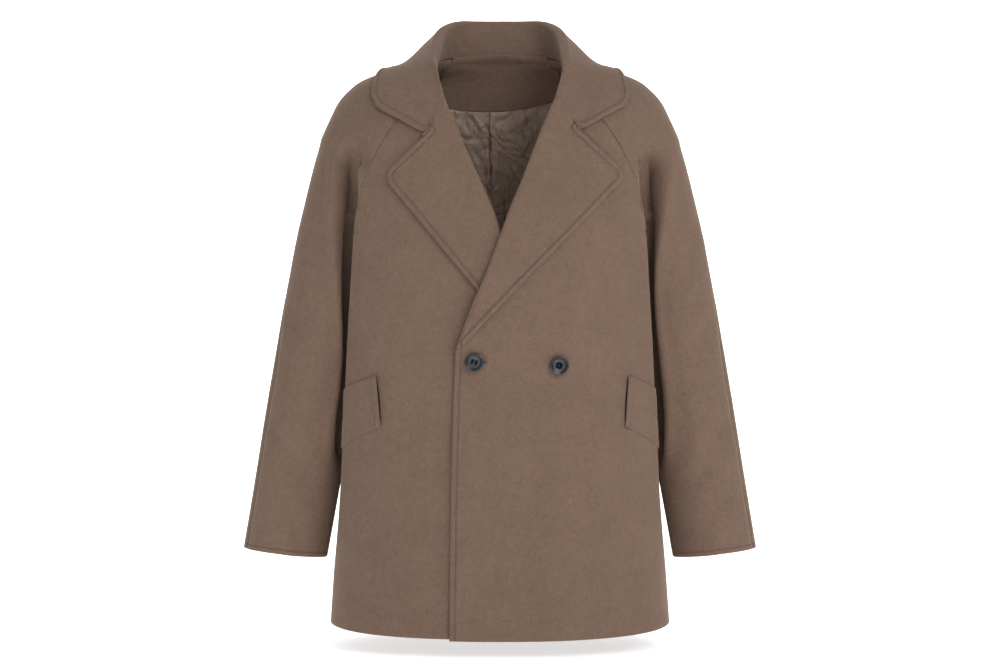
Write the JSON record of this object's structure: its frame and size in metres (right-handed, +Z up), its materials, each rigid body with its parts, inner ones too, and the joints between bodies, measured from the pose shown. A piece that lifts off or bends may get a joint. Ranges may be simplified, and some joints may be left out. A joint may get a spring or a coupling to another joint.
{
  "type": "pea coat",
  "caption": "Hip-length double-breasted wool pea coat with raglan sleeves, broad notched lapels, turned-down collar and slanted pocket flaps, hollow as worn.",
  "frame": {"origin": "between the wearer's shoulders at the base of the neck, where the coat hangs when worn", "axes": "+Z up, -Y the front of the coat, +X the wearer's left"},
  "size_m": [0.7296, 0.3137, 0.8731],
  "materials": {
    "front_left": "napped wool coating",
    "front_right": "napped wool coating",
    "back": "napped wool coating",
    "sleeve_left_front": "napped wool coating",
    "sleeve_left_back": "napped wool coating",
    "sleeve_right_front": "napped wool coating",
    "sleeve_right_back": "napped wool coating",
    "collar": "napped wool coating",
    "lapel_left": "napped wool coating",
    "lapel_right": "napped wool coating",
    "neck_facing": "napped wool coating",
    "lining_back": "satin lining",
    "flap_left": "napped wool coating",
    "flap_right": "napped wool coating",
    "button_left": "polished, dished face with a raised rim",
    "button_right": "polished, dished face with a raised rim"
  },
  "bodies": {
    "root": {"front_left": "front_left", "front_right": "front_right", "back": "back", "sleeve_left_front": "sleeve_left_front", "sleeve_left_back": "sleeve_left_back", "sleeve_right_front": "sleeve_right_front", "sleeve_right_back": "sleeve_right_back", "collar": "collar", "lapel_left": "lapel_left", "lapel_right": "lapel_right", "neck_facing": "neck_facing", "lining_back": "lining_back", "flap_left": "flap_left", "flap_right": "flap_right", "button_left": "button_left", "button_right": "button_right"}
  },
  "joints": []
}
